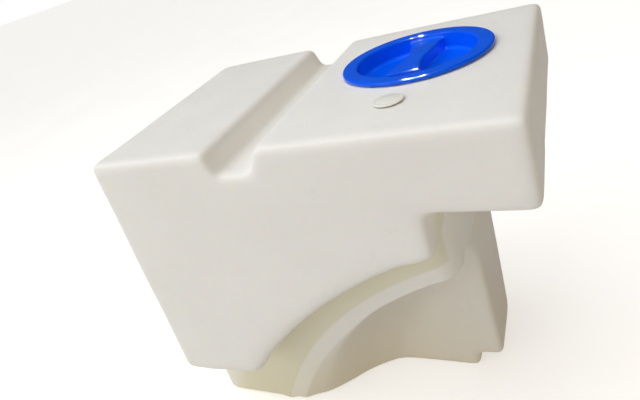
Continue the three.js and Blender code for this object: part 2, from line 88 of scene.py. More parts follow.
# Fittings of the left end. Radii of the threaded body, its bore, the flange, the hose tail
# and the tail's bore; then the tail's length and the lock nut's radius.
Fitting = namedtuple("Fitting", "body bore flange tail tail_bore length nut")
FITTINGS = {
    "filler": Fitting(21.3, 16.0, 31.0, 20.0, 16.5, 44.0, 31.0),
    "vent": Fitting(8.4, 4.2, 13.5, 5.6, 3.6, 24.0, 13.0),
    "outlet": Fitting(10.4, 5.2, 16.0, 6.8, 4.6, 28.0, 16.0),
}
DRAIN_R = 13.4
CLEARANCE = 0.3  # between a threaded body and its hole, seal and nut

# Voxel sizes of the sampled pieces
SHELL_VOXEL = 1.6
LID_VOXEL = 0.65
COLLAR_VOXEL = 0.8
SCREW_VOXEL = 0.22
PLUG_VOXEL = 0.35


# ---------------------------------------------------------------------------
# Fields: signed distances in millimetres, negative inside
# ---------------------------------------------------------------------------
def smooth(t):
    t = np.clip(t, 0.0, 1.0)
    return t * t * (3 - 2 * t)


def both(*fields):
    return reduce(np.maximum, fields)


def either(*fields):
    return reduce(np.minimum, fields)


def cut(field, hole):
    return np.maximum(field, -hole)


def both_round(a, b, radius):
    """Both at once, with the outer edge between them rounded."""
    return np.minimum(np.maximum(a, b), -radius) + np.hypot(
        np.maximum(a + radius, 0), np.maximum(b + radius, 0)
    )


def either_round(a, b, radius):
    """Either, with the inner corner between them filled."""
    return np.maximum(np.minimum(a, b), radius) - np.hypot(
        np.maximum(radius - a, 0), np.maximum(radius - b, 0)
    )


def soften(field, width, passes=3):
    """Box filter repeated along each axis: rounds edges and leaves flat faces in place."""
    half = width // 2
    for axis in range(3):
        before = (slice(None),) * axis
        n = field.shape[axis]
        pad = [(0, 0)] * 3
        pad[axis] = (half + 1, half)
        for _ in range(passes):
            total = np.pad(field, pad, mode="reflect", reflect_type="odd")
            np.cumsum(total, axis=axis, out=total)
            ahead = total[before + (slice(width, width + n),)]
            field = (ahead - total[before + (slice(0, n),)]) / width
    return field


def grid_of(lo, hi, voxel):
    """X, Y and Z coordinates as arrays that broadcast to the whole grid."""
    axes = []
    for i in range(3):
        n = int(math.ceil((hi[i] - lo[i]) / voxel)) + 1
        line = (lo[i] + voxel * np.arange(n)).astype(np.float32)
        axes.append(line.reshape([-1 if k == i else 1 for k in range(3)]))
    return axes


def sample(field, points):
    """Trilinear value of the field at index positions."""
    inside = np.clip(points, 0, np.array(field.shape) - 1.001)
    cell = inside.astype(np.int32)
    part = (inside - cell).astype(np.float32)
    total = np.zeros(len(points), np.float32)
    for corner in np.ndindex(2, 2, 2):
        wx, wy, wz = (part[:, k] if corner[k] else 1 - part[:, k] for k in range(3))
        x, y, z = (cell + corner).T
        total += wx * wy * wz * field[x, y, z]
    return total


# ---------------------------------------------------------------------------
# Meshes
# ---------------------------------------------------------------------------
def mesh_from(name, verts, tris, quads, normals=None):
    mesh = bpy.data.meshes.new(name)
    nt, nq = len(tris), len(quads)
    mesh.vertices.add(len(verts))
    mesh.vertices.foreach_set("co", verts.astype(np.float32).ravel())
    mesh.loops.add(nt * 3 + nq * 4)
    corners = np.concatenate([tris.ravel(), quads.ravel()]).astype(np.int32)
    mesh.loops.foreach_set("vertex_index", corners)
    mesh.polygons.add(nt + nq)
    starts = np.concatenate([np.arange(nt) * 3, nt * 3 + np.arange(nq) * 4])
    mesh.polygons.foreach_set("loop_start", starts.astype(np.int32))
    mesh.update(calc_edges=True)
    mesh.validate()
    mesh.shade_smooth()
    if normals is not None:
        mesh.normals_split_custom_set_from_vertices(normals.tolist())
    piece = bpy.data.objects.new(name, mesh)
    scene.collection.objects.link(piece)
    return piece


def field_object(name, field, lo, voxel, origin, adaptivity=0.0):
    """The zero surface of a field as a closed mesh whose normals are the field's own."""
    band = 3.0 * voxel
    grid = vdb.FloatGrid(band)
    grid.copyFromArray(np.clip(field, -band, band).astype(np.float32), tolerance=0.0)
    points, tris, quads = grid.convertToPolygons(isovalue=0.0, adaptivity=adaptivity)
    points = np.asarray(points, float)
    steps = np.eye(3) * 0.8  # in cells
    normals = np.stack([sample(field, points + e) - sample(field, points - e) for e in steps], 1)
    normals /= np.maximum(np.linalg.norm(normals, axis=1, keepdims=True), 1e-9)
    tris = np.asarray(tris, np.int32).reshape(-1, 3)
    quads = np.asarray(quads, np.int32).reshape(-1, 4)
    verts = (np.array(lo) + points * voxel + np.array(origin)) / 1000.0
    # Faces are turned so that they look along the field's gradient.
    a = verts[quads[:, 1]] - verts[quads[:, 0]]
    b = verts[quads[:, 2]] - verts[quads[:, 0]]
    if (np.cross(a, b) * normals[quads[:, 0]]).sum() < 0:
        tris, quads = tris[:, ::-1], quads[:, ::-1]
    return mesh_from(name, verts, tris, quads, normals)


def filleted(profile, radius, closed, steps=3):
    """The profile with its corners rounded by radius, or less where an edge is short."""
    points = [np.array(q, float) for q in profile]
    last = len(points) - 1
    out = []
    for i, corner in enumerate(points):
        if not closed and i in (0, last):
            out.append(corner)
            continue
        u = points[i - 1] - corner
        v = points[(i + 1) % len(points)] - corner
        lu, lv = np.linalg.norm(u), np.linalg.norm(v)
        k = min(radius, lu * 0.42, lv * 0.42)
        start, end = corner + u / lu * k, corner + v / lv * k
        for t in np.linspace(0, 1, steps + 1):
            out.append((1 - t) ** 2 * start + 2 * t * (1 - t) * corner + t * t * end)
    return out


def polygon_values(mesh, key, width):
    values = np.zeros(len(mesh.polygons) * width)
    mesh.polygons.foreach_get(key, values)
    return values.reshape(-1, width)


def lathe(name, profile, at, axis, segments=96, corner=0.4, hex_above=None):
    """A piece turned about an axis that starts at a local place.

    The profile is [radius, height]; it is closed unless it starts on the axis. Rows wider
    than hex_above are hexagonal.
    """
    closed = profile[0][0] > 0
    verts, quads, tris, rings = [], [], [], []
    for r, h in filleted(profile, corner, closed):
        first = len(verts)
        if r == 0:
            rings.append([first])
            verts.append((0, 0, h))
            continue
        rings.append(range(first, first + segments))
        for k in range(segments):
            a = 2 * math.pi * k / segments
            reach = r
            if hex_above and r > hex_above:
                b = (a + math.pi / 6) % (math.pi / 3) - math.pi / 6
                reach = r * math.cos(math.pi / 6) / math.cos(abs(b))
            verts.append((reach * math.cos(a), reach * math.sin(a), h))
    for i in range(len(rings) if closed else len(rings) - 1):
        A, B = rings[i], rings[(i + 1) % len(rings)]
        for k in range(segments):
            k2 = (k + 1) % segments
            if len(A) == 1:
                tris.append((A[0], B[k2], B[k]))
            elif len(B) == 1:
                tris.append((A[k], A[k2], B[0]))
            else:
                quads.append((A[k], A[k2], B[k2], B[k]))
    turn = Vector(UP).rotation_difference(Vector(axis)).to_matrix()
    verts = np.array(verts, float) @ np.array(turn).T
    verts = (verts + np.array(at) + np.array(ORIGIN)) / 1000.0
    tris = np.array(tris, np.int32).reshape(-1, 3)
    quads = np.array(quads, np.int32).reshape(-1, 4)
    piece = mesh_from(name, verts, tris, quads)
    # Faces look outwards.
    mesh = piece.data
    outward = polygon_values(mesh, "center", 3) - verts.mean(0)
    facing = (polygon_values(mesh, "normal", 3) * outward).sum(1)
    if (facing * polygon_values(mesh, "area", 1)[:, 0]).sum() < 0:
        mesh.flip_normals()
    weighted = piece.modifiers.new("corner_weight", "WEIGHTED_NORMAL")
    weighted.weight = 80
    weighted.keep_sharp = False
    return piece


def ring_profile(inner, outer, low, high):
    return [(inner, low), (outer, low), (outer, high), (inner, high)]


pieces = []  # (piece, material slot)


def stand_in(piece, node, body, slot):
    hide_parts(node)
    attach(piece, body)
    pieces.append((piece, slot))


# ---------------------------------------------------------------------------
# The shell: a full-width slab over a lower front block and a lower rear body. An arch cuts
# the front block; behind it a bevelled band and a deep recess follow two more arches.
# ---------------------------------------------------------------------------
SLAB_Z = 394.0  # underside of the slab
FRONT_Z = 119.0  # underside of the front block
WALL_X, FOOT_X = 438.0, 447.0  # right wall of the lower body: at the slab, at the notch
NOTCH_X, NOTCH_Z, NOTCH_LEAN = 409.0, 27.5, 3  # cut from the foot of the right wall
STEP_Y, RECESS_Y = 65.0, 171.0  # front of the rear body, depth of the recess
# Arches in the XZ plane: centre x, centre z, radius
FRONT_ARCH = (672.8, -310.4, 689.3)
BAND_ARCH = (620.2, -241.0, 532.3)
RECESS_ARCH = (581.6, -101.9, 400.0)
# The recess changes section along its arch between these (x, z) offsets from its centre.
RECESS_LOW, RECESS_HIGH = (-384.6, 101.9), (-143.6, 372.9)
COVE_Y, COVE_LOW, COVE_HIGH = 70.0, 120.0, 70.0  # where the cove starts, its fall at each end
BAND, BAND_IN = 24.0, 4.0  # width and depth of the bevelled band
# Groove in the top: x of each side at the top and at its floor, and the floor's z
GROOVE_LEFT, GROOVE_RIGHT, GROOVE_Z = (193.0, 203.0), (265.0, 247.0), 460.0
OVERLAP_Z, OVERLAP_Y = 40, 45  # lower bodies reach into the slab, front block into the rear
BACK_CORNER = (48.0, 142.0)  # radius of the back right corner at the slab, near the base
STEP_CORNER = 32.0  # radius of the right corner beside the step
SEAM_Z, SEAM_HEIGHT, SEAM_WIDTH = 0.848 * H, 0.34, 1.7
SEAT_Z = H - 6.8
HATCH_R, SEAT_R, SEAT_PAD_R = 86.4, 95.9, 103.0
PORT_HOLE_R, PORT_PAD_R, PORT_PAD_Z = 13.3, 22.0, H - 12.0


def circle(X, Z, arch):
    return np.hypot(X - arch[0], Z - arch[1]) - arch[2]


def groove_side(X, Z, x_top, x_floor, sign):
    dx, dz = x_floor - x_top, GROOVE_Z - H
    return sign * ((X - x_top) * dz - (Z - H) * dx) / math.hypot(dx, dz)


def carve_arch(rear, X, Y, Z):
    """Bevelled band round the second arch, the ledge behind it and the deep recess."""
    rho = circle(X, Z, BAND_ARCH)
    bevel = (BAND_IN * (rho - BAND) + BAND * (Y - STEP_Y)) / math.hypot(BAND, BAND_IN)
    rear = cut(rear, both(bevel, Y - STEP_Y - BAND_IN - 1))

    low, high = (math.atan2(z, x) for x, z in (RECESS_LOW, RECESS_HIGH))
    angle = np.arctan2(Z - RECESS_ARCH[1], X - RECESS_ARCH[0])
    along = np.clip((low - angle) / (low - high), 0, 1)
    s = np.clip((Y - COVE_Y) / (RECESS_Y - COVE_Y), 0, 0.9995)
    lean = 0.25 * (1 - along)
    cove = COVE_LOW + (COVE_HIGH - COVE_LOW) * along
    root = np.sqrt(1 - s * s)
    fall = (lean * s + (1 - lean) * (1 - root)) * cove
    slope = cove * (lean + (1 - lean) * s / root) / (RECESS_Y - COVE_Y)
    side = (circle(X, Z, RECESS_ARCH) + fall) / np.sqrt(1 + slope * slope)
    deep = both(side, Y - RECESS_Y)
    # Behind the band a shallow slope turns over a wide radius into the recess.
    reach = np.maximum(-rho, 0.0)
    ledge = STEP_Y + BAND_IN + 0.46 * np.minimum(reach, 60.0) - Y
    turn = 6.0 + 18.0 * smooth(reach / 40.0)
    stand = both_round(ledge * 0.94, -deep, turn)
    return both(rear, either(-rho, stand))


def sharp_shell(X, Y, Z, index):
    """The solid outside of the tank before its edges are softened."""
    groove = both(
        groove_side(X, Z, *GROOVE_LEFT, 1), groove_side(X, Z, *GROOVE_RIGHT, -1), GROOVE_Z - Z
    )
    slab = both(-X, X - W, SLAB_Z - Z, Z - H, -groove)
    join = Z - SLAB_Z - OVERLAP_Z
    front_low = both(-X, X - WALL_X, FRONT_Z - Z, -circle(X, Z, FRONT_ARCH), join)
    wall = WALL_X + (FOOT_X - WALL_X) * (SLAB_Z - Z) / (SLAB_Z - NOTCH_Z)
    notch = both(NOTCH_X + NOTCH_LEAN * Z / NOTCH_Z - X, Z - NOTCH_Z)
    rear_low = both(-X, -Z, X - wall, join, -notch)

    rear = both(either(slab, rear_low), STEP_Y - Y, Y - D).astype(np.float32)
    # Upright right-hand corners under the slab; the back one widens towards the base.
    i0, k1 = index(WALL_X - 160), index(SLAB_Z + 2)
    below = Z[:, :, :k1]
    side = X[i0:] - wall[:, :, :k1]
    narrow, wide = BACK_CORNER
    radius = narrow + (wide - narrow) * np.clip((SLAB_Z - below) / (SLAB_Z + 10), 0, 1)
    back = both_round(side, Y - D, radius)
    nose = both_round(side, STEP_Y - Y, STEP_CORNER)
    rear[i0:, :, :k1] = both(rear[i0:, :, :k1], back, nose)
    rear = carve_arch(rear, X, Y, Z)
    front = both(either(slab, front_low), -Y, Y - STEP_Y - OVERLAP_Y).astype(np.float32)
    return either(front, rear).astype(np.float32)


def round_shell(hard, X, Y, Z, index):
    """Medium rounding everywhere, wide on the front block's lower edges, close at the band."""
    F = soften(hard, 7)
    jy, jk = index(66.0), index(SLAB_Z + 6)
    margin = 20  # extra cells, so that the filter's border stays out of the blend
    wide = soften(hard[:, : jy + margin, : jk + margin], 13)[:, :jy, :jk]
    mask = (
        smooth((SLAB_Z - 8 - Z[:, :, :jk]) / 26.0)
        * smooth((60.0 - Y[:, :jy]) / 14.0)
        * smooth((X - 40) / 60.0)
        * smooth((418.0 - X) / 30.0)
    )
    F[:, :jy, :jk] = F[:, :jy, :jk] * (1 - mask) + wide * mask
    del wide, mask

    j0, j1 = index(60.0), index(200.0)
    close = soften(hard[:, j0:j1], 3)
    ys = Y[:, j0:j1]
    rho = circle(X, Z, BAND_ARCH)
    edges = np.maximum(np.exp(-((rho / 10.0) ** 2)), np.exp(-(((rho - BAND) / 10.0) ** 2)))
    mask = np.clip(edges * smooth((ys - 60.0) / 4.0) * smooth((112.0 - ys) / 14.0), 0, 1)
    F[:, j0:j1] = F[:, j0:j1] * (1 - mask) + close * mask
    return F


def add_waves_and_seam(F, X, Y, Z):
    """Long shallow waves, and the raised line where the two halves of the mould met."""
    wave = np.zeros(1, np.float32)
    rng = np.random.default_rng(11)
    for _ in range(7):
        k = rng.normal(size=3)
        k = k / np.linalg.norm(k) * 2 * math.pi / rng.uniform(110, 260)
        wave = wave + (
            rng.uniform(0.05, 0.13)
            * np.sin(k[0] * X + k[1] * Y + k[2] * Z + rng.uniform(0, 6.28))
        ).astype(np.float32)
    seam = SEAM_HEIGHT * np.exp(-(((Z - SEAM_Z) / SEAM_WIDTH) ** 2)) * smooth((F + 9) / 6.0)
    inset = smooth(either(X, W - X, Y, D - Y) / 3.0 + 1.0)
    F += 0.45 + wave
    F -= seam.astype(np.float32) * inset


def hollow_shell(F, X, Y, Z, index):
    """Leaves the wall, thickens it round the hatch and port, and cuts the openings."""
    lid_d = np.hypot(X - LID_AT[0], Y - LID_AT[1])
    port_d = np.hypot(X - PORT_AT[0], Y - PORT_AT[1])
    T = both(F, -(F + WALL))
    k0 = index(H - 40)
    z, outside, top = Z[:, :, k0:], F[:, :, k0:], T[:, :, k0:]
    top = either(top, both(outside, lid_d - SEAT_PAD_R, SEAT_Z - WALL - z))
    top = either(top, both(outside, port_d - PORT_PAD_R, PORT_PAD_Z - z))
    top = cut(top, both(lid_d - SEAT_R, SEAT_Z - z))
    top = cut(top, lid_d - HATCH_R)
    top = cut(top, port_d - PORT_HOLE_R)
    for x, y in SCREW_PLACES:
        top = both(top, SCREW_HOLE_R - np.hypot(X - LID_AT[0] - x, Y - LID_AT[1] - y))
    T[:, :, k0:] = top
    i1 = index(14)
    holes = [(name + "_tail", f.body) for name, f in FITTINGS.items()]
    for node, body in holes + [("drain_bush", DRAIN_R)]:
        _, y, z = centre(node)
        T[:i1] = both(T[:i1], body + CLEARANCE - np.hypot(Y - y, Z - z))
    return T


def shell_field(voxel):
    pad = 3 * voxel
    lo = (-pad, -pad, -pad)
    X, Y, Z = grid_of(lo, (W + pad, D + pad, H + pad), voxel)

    def index(mm):
        return int((mm + pad) / voxel)

    F = round_shell(sharp_shell(X, Y, Z, index), X, Y, Z, index)
    add_waves_and_seam(F, X, Y, Z)
    return hollow_shell(F, X, Y, Z, index), lo


stand_in(
    field_object(
        "tank_body_moulding", *shell_field(SHELL_VOXEL), SHELL_VOXEL, ORIGIN, adaptivity=0.07
    ),
    "tank_shell", "tank", "polyethylene",
)

# ---------------------------------------------------------------------------
# The hatch: x and y from the lid's axis, z from the top of the tank
# ---------------------------------------------------------------------------
FLOOR = -17.0  # floor of the lid's pocket
POCKET_R = 77.0
LID_SKIRT_R, LID_SKIRT_BORE_R, LID_SKIRT_Z = 78.6, 75.2, -29.5
LID_NECK_R = 81.0  # under the flange, inside the seal groove
SEAL_GROOVE_R, SEAL_GROOVE_Z = 84.6, 2.3
COLLAR_BORE_R, COLLAR_BODY_R, COLLAR_FLANGE_R = 81.8, 85.8, 95.3
COLLAR_LOW_Z, COLLAR_FLANGE_Z, COLLAR_TOP_Z = -30.0, -4.9, -0.3
# Two thread ribs: lead, starting angles and sweep in degrees, half-width at root and tip
THREAD_LEAD, THREAD_STARTS, THREAD_SWEEP = 12.0, (0, 180), 165.0
THREAD_ROOT, THREAD_TIP = 1.3, 0.55
# Outline of the lid's grip bar seen from above: (x, y)
BAR = [
    (20.5, 79), (19.2, 56), (17.6, 40), (13.9, 17), (10.6, 0), (10.2, -22),
    (12.4, -44), (11.8, -49), (-25.4, -50), (-26.3, -45), (-25.2, -36), (-18.6, -17),
    (-13.8, 0), (-14, 17), (-15.9, 42), (-18.6, 60), (-20.5, 79),
]


def spline(points, steps):
    """Closed Catmull-Rom curve through the points."""
    p = np.array(points, float)
    out = []
    m = len(p)
    for i in range(m):
        p0, p1, p2, p3 = p[(i - 1) % m], p[i], p[(i + 1) % m], p[(i + 2) % m]
        for t in np.linspace(0, 1, steps, endpoint=False):
            out.append(0.5 * (
                2 * p1 + (p2 - p0) * t + (2 * p0 - 5 * p1 + 4 * p2 - p3) * t * t
                + (3 * p1 - p0 - 3 * p2 + p3) * t ** 3
            ))
    return np.array(out)


def polygon_distance(polygon, x, y):
    """Signed distance to a closed polygon on a grid of x and y."""
    px, py = np.broadcast_arrays(x, y)
    distance = np.full(px.shape, 1e9, np.float32)
    inside = np.zeros(px.shape, bool)
    for i in range(len(polygon)):
        ax, ay = polygon[i]
        bx, by = polygon[(i + 1) % len(polygon)]
        ex, ey = bx - ax, by - ay
        t = np.clip(((px - ax) * ex + (py - ay) * ey) / (ex * ex + ey * ey + 1e-12), 0, 1)
        distance = np.minimum(distance, np.hypot(px - ax - t * ex, py - ay - t * ey))
        crossing = (bx - ax) * (py - ay) / (by - ay + 1e-12) + ax
        inside ^= ((ay > py) != (by > py)) & (px < crossing)
    return np.where(inside, -distance, distance)


def helix(X, Y, Z, r_root, r_tip, z0):
    """Thread ribs on a core, tapering from root to tip; an inner thread has the smaller tip."""
    r = np.hypot(X, Y)
    theta = np.degrees(np.arctan2(Y, X))
    u = (r - r_root) / (r_tip - r_root)
    half = THREAD_ROOT + (THREAD_TIP - THREAD_ROOT) * np.clip(u, -0.2, 1.2)
    depth = both(r - r_tip, r_root - r) if r_tip > r_root else both(r_tip - r, r - r_root)
    ribs = []
    for start in THREAD_STARTS:
        a = np.mod(theta - start, 360.0)
        a = np.where(a > 180 + THREAD_SWEEP / 2, a - 360.0, a)
        dz = np.abs(Z - (z0 + THREAD_LEAD * a / 360.0))
        ends = np.maximum(-a, a - THREAD_SWEEP) * math.pi / 180 * r
        ribs.append(both((dz - half) * 0.95, depth, ends))
    return either(*ribs)


def lid_field(voxel):
    lo = (-LID_R - 3, -LID_R - 3, -33.0)
    X, Y, Z = grid_of(lo, (LID_R + 3, LID_R + 3, LID_TOP + 3), voxel)
    r = np.hypot(X, Y)
    # What shows from above: flange with a rounded rim, the pocket, and the grip bar.
    flange = both_round(r - LID_R, Z - LID_TOP, radius=2.8)
    draft = np.clip(-Z, 0, 20) * 0.09
    pocket = both_round(r - POCKET_R + draft, FLOOR - Z, radius=5.0)
    dish = both_round(flange, -pocket, radius=3.2)
    outline = polygon_distance(spline(BAR, steps=6), X[:, 0, :], Y[0].T)[:, :, None]
    # The bar is slightly crowned and its top falls a little to both sides.
    crown = Z - (LID_TOP - 5.4) + 0.0009 * Y * Y * 0.25 + 0.0016 * (X + 3) ** 2
    bar = both_round(outline, crown, radius=2.1)
    above = either_round(dish, bar, radius=3.0)
    # Underneath: skirt with the thread, seal groove under the flange.
    skirt = both_round(r - LID_SKIRT_R, LID_SKIRT_Z - Z, radius=0.8)
    chamfer = np.clip(LID_NECK_R - r, 0, 2.4)
    neck = both(r - LID_NECK_R, -1.4 - Z - chamfer)
    rim = both_round(r - LID_R, 0.7 - Z, radius=1.2)
    body = either(neck, skirt, rim)
    body = cut(body, both(r - SEAL_GROOVE_R, LID_NECK_R - r, Z - SEAL_GROOVE_Z))
    body = cut(body, both_round(r - LID_SKIRT_BORE_R, Z - (FLOOR - 4.0), radius=3.0))
    ribs = both(helix(X, Y, Z, r_root=78.3, r_tip=81.2, z0=-21.2), Z + 2.0)
    return both(above, either(body, ribs)), lo


def collar_field(voxel):
    lo = (-98.0, -98.0, -33.0)
    X, Y, Z = grid_of(lo, (98.0, 98.0, 2.5), voxel)
    r = np.hypot(X, Y)
    body = both(r - COLLAR_BODY_R, COLLAR_LOW_Z - Z)
    flange = both_round(r - COLLAR_FLANGE_R, COLLAR_FLANGE_Z - Z, radius=0.6)
    f = both_round(either(body, flange), Z - COLLAR_TOP_Z, radius=0.7)
    f = both(f, COLLAR_BORE_R - r)
    f = either(f, helix(X, Y, Z, r_root=82.1, r_tip=79.2, z0=-18.2))
    for x, y in SCREW_PLACES:
        d = np.hypot(X - x, Y - y)
        countersink = both((d - 3.9) * 0.8 - (Z + 0.9), -2.9 - Z)
        f = cut(f, either(d - SCREW_HOLE_R, countersink))
    return f, lo


def screw_field(voxel):
    """Countersunk screw with a cross slot."""
    lo = (-4.5, -4.5, -22.0)
    X, Y, Z = grid_of(lo, (4.5, 4.5, 0.5), voxel)
    r = np.hypot(X, Y)
    shank_r, head_r, tip_z, pitch, slot_half, slot_reach = 1.95, 3.4, -21.0, 0.8, 0.45, 1.9
    turn = np.arctan2(Y, X) / (2 * math.pi)
    thread = 0.32 * np.cos(2 * math.pi * (Z / pitch - turn)) * smooth((-6.0 - Z) / 2.0)
    shank = both_round(r - shank_r - np.minimum(thread, 0.0), tip_z - Z, radius=0.3)
    shank = both(shank, Z + 1.0)
    cone = (r - head_r) * 0.75 - np.clip(Z + 0.95, -9, 0) * 0.9
    head = both(cone, Z + 0.62 + 0.02 * r * r, r - head_r)
    x, y = np.abs(X), np.abs(Y)
    cross = either(both(x - slot_half, y - slot_reach), both(y - slot_half, x - slot_reach))
    return cut(either(shank, both(head, -3.2 - Z)), both(cross, -2.0 - Z)), lo


LID_ORIGIN = from_origin(LID_AT)
stand_in(
    field_object(
        "hatch_lid_moulding", *lid_field(LID_VOXEL), LID_VOXEL, LID_ORIGIN, adaptivity=0.01
    ),
    "hatch_lid", "hatch", "blue_moulding",
)
stand_in(
    field_object(
        "hatch_collar_moulding", *collar_field(COLLAR_VOXEL), COLLAR_VOXEL, LID_ORIGIN,
        adaptivity=0.01,
    ),
    "hatch_collar", "tank", "white_moulding",
)
# Rings round the hatch: name, node, body, slot, (inner, outer, low, high), corner radius
for name, node, body, slot, section, corner in (
    ("lid_seal_ring", "lid_seal", "hatch_seal", "rubber", (81.6, 84.1, 0.0, 1.9), 0.7),
    ("collar_gasket_ring", "collar_gasket", "tank", "rubber", (86.7, 88.6, -6.5, -5.2), 0.5),
    ("backing_ring_moulding", "backing_ring", "tank", "white_moulding",
     (86.7, 99.0, -18.1, -12.1), 0.9),
):
    ring = lathe(name, ring_profile(*section), LID_AT, UP, segments=160, corner=corner)
    stand_in(ring, node, body, slot)

# Port plug beside the hatch: (radius, height) from the axis at the bottom to the crown
PORT_PLUG = [
    (0, -16), (11.4, -16), (12.9, -14.4), (12.9, -13), (11.8, -12.4), (11.8, -0.6),
    (12.6, 1.6), (17.8, 1.6), (17.8, 2.0), (17.1, 2.7), (15.4, 3.0), (14.0, 2.75),
    (12.6, 3.1), (7.0, 3.7), (0, 3.9),
]
stand_in(
    lathe("port_plug_moulding", PORT_PLUG, PORT_AT, UP, corner=0.9),
    "port_plug", "port", "port_white",
)
stand_in(
    lathe("port_seal_ring", ring_profile(13.4, 16.6, 0.3, 1.4), PORT_AT, UP, segments=72),
    "port_plug_seal", "port", "soft_seal",
)

screw_and_lo = screw_field(SCREW_VOXEL)
for k, (x, y) in enumerate(SCREW_PLACES, 1):
    place = (LID_ORIGIN[0] + x, LID_ORIGIN[1] + y, LID_ORIGIN[2])
    screw = field_object(f"collar_screw_piece_{k}", *screw_and_lo, SCREW_VOXEL, place)
    stand_in(screw, f"collar_screw_{k}", "tank", "steel")

# ---------------------------------------------------------------------------
# Fittings of the left end: heights run outwards from the end face
# ---------------------------------------------------------------------------
FLANGE_IN, FLANGE_OUT = 1.8, 6.8
END_SEAL = (0.3, 1.5)  # heights of the seals under the flanges
NUT_FACE = -(WALL + 0.3)  # nut face next to the wall


def hose_tail_profile(f):
    """Threaded body inside the tank, flange, and a hose tail with three barbs."""
    inner_end = -(WALL + 13)
    pitch = 1.5 if f.body > 15 else 1.0
    profile = [(f.bore, inner_end), (f.body - 0.6, inner_end)]
    height = -(WALL + 12.2)
    while height < 0.6:
        profile += [(f.body, height), (f.body - pitch * 0.42, height + pitch / 2)]
        height += pitch
    profile += [
        (f.body - 0.4, FLANGE_IN), (f.flange, FLANGE_IN), (f.flange, FLANGE_OUT - 0.9),
        (f.flange - 1.0, FLANGE_OUT), (f.tail + 1.4, FLANGE_OUT), (f.tail - 0.6, FLANGE_OUT + 1.2),
    ]
    for k in range(3):
        barb = FLANGE_OUT + f.length * (0.26 + 0.235 * k)
        profile += [
            (f.tail - 0.6, barb), (f.tail + 0.9, barb + 0.6), (f.tail + 0.8, barb + 1.2),
            (f.tail - 0.5, barb + f.length * 0.19),
        ]
    end = FLANGE_OUT + f.length
    return profile + [
        (f.tail - 0.9, end), (f.tail_bore, end), (f.tail_bore, FLANGE_OUT),
        (f.bore, FLANGE_OUT - 3),
    ]


def end_seal(name, node, at, inner, outer):
    ring = lathe(name, ring_profile(inner, outer, *END_SEAL), at, LEFT)
    stand_in(ring, node, "tank", "rubber")


def lock_nut(name, node, at, bore, shoulder, outer, inner_face, hex_above):
    """Hexagonal nut inside the wall; its inner face narrows to the shoulder."""
    profile = [
        (bore, inner_face), (shoulder, inner_face), (outer, inner_face + 1.0),
        (outer, NUT_FACE - 0.5), (outer - 0.5, NUT_FACE), (bore, NUT_FACE),
    ]
    nut = lathe(name, profile, at, LEFT, corner=0.3, hex_above=hex_above)
    stand_in(nut, node, "tank", "black_moulding")


def drain_plug_field(voxel):
    """Stem, knurled disc and finger grip along +Z."""
    lo = (-18.5, -18.5, -7.5)
    X, Y, Z = grid_of(lo, (18.5, 18.5, 28.5), voxel)
    r = np.hypot(X, Y)
    stem_r, stem_low, disc_r, disc_low, disc_high, grip_top = 7.7, -6.0, 16.2, 11.2, 16.0, 27.0
    stem = both(both_round(r - stem_r, stem_low - Z, radius=0.8), Z - 12.0)
    knurl = 0.35 * np.cos(np.arctan2(Y, X) * 30)
    disc = both_round(r - disc_r - np.minimum(knurl, 0), Z - disc_high, radius=1.0)
    disc = both_round(disc, disc_low - Z, radius=0.5)
    grip = both_round(np.abs(X) - 2.6 - 0.05 * (np.abs(Y)), np.abs(Y) - 13.0, radius=1.6)
    grip = both_round(grip, Z - grip_top + 0.02 * Y * Y, radius=1.4)
    return either_round(either(stem, disc), both(grip, 14.0 - Z), radius=1.6), lo


for name, fitting in FITTINGS.items():
    at = (0.0, *centre(name + "_tail")[1:])
    stand_in(
        lathe(name + "_hose_tail", hose_tail_profile(fitting), at, LEFT, corner=0.35),
        name + "_tail", "tank", "black_moulding",
    )
    bore = fitting.body + CLEARANCE
    end_seal(name + "_seal_ring", name + "_seal", at, bore, fitting.flange - 1.0)
    lock_nut(
        name + "_lock_nut", name + "_nut", at, bore,
        shoulder=fitting.nut * 0.84, outer=fitting.nut - 0.2,
        inner_face=-(WALL + 8.3), hex_above=fitting.nut * 0.9,
    )

drain_at = (0.0, *centre("drain_bush")[1:])
drain_bush_profile = [
    (9.6, -(WALL + 12)), (12.9, -(WALL + 12)), (DRAIN_R, -(WALL + 11.4)), (DRAIN_R, FLANGE_IN),
    (19, FLANGE_IN), (19, 7.6), (17.8, 9), (10.4, 9), (9.6, 8.2),
]
stand_in(
    lathe("drain_bush_moulding", drain_bush_profile, drain_at, LEFT, corner=0.5),
    "drain_bush", "tank", "black_moulding",
)
drain_bore = DRAIN_R + CLEARANCE
end_seal("drain_bush_seal_ring", "drain_bush_seal", drain_at, drain_bore, 18)
lock_nut(
    "drain_lock_nut", "drain_nut", drain_at, drain_bore,
    shoulder=16.2, outer=18.8, inner_face=-(WALL + 7.3), hex_above=17.0,
)
stand_in(
    lathe("drain_plug_seal_ring", ring_profile(10.4, 15.4, 9.3, 10.9), drain_at, LEFT, corner=0.6),
    "drain_plug_seal", "drain_seal", "rubber",
)
plug = field_object(
    "drain_plug_moulding", *drain_plug_field(PLUG_VOXEL), PLUG_VOXEL, (0, 0, 0)
)
# The plug's own +Z is turned to point out of the tank's left end.
turn = Vector(UP).rotation_difference(Vector(LEFT)).to_matrix().to_4x4()
place = Vector([c / 1000.0 for c in from_origin(drain_at)])
plug.data.transform(Matrix.Translation(place) @ turn)
plug.data.update()
stand_in(plug, "drain_plug", "drain", "blue_moulding")


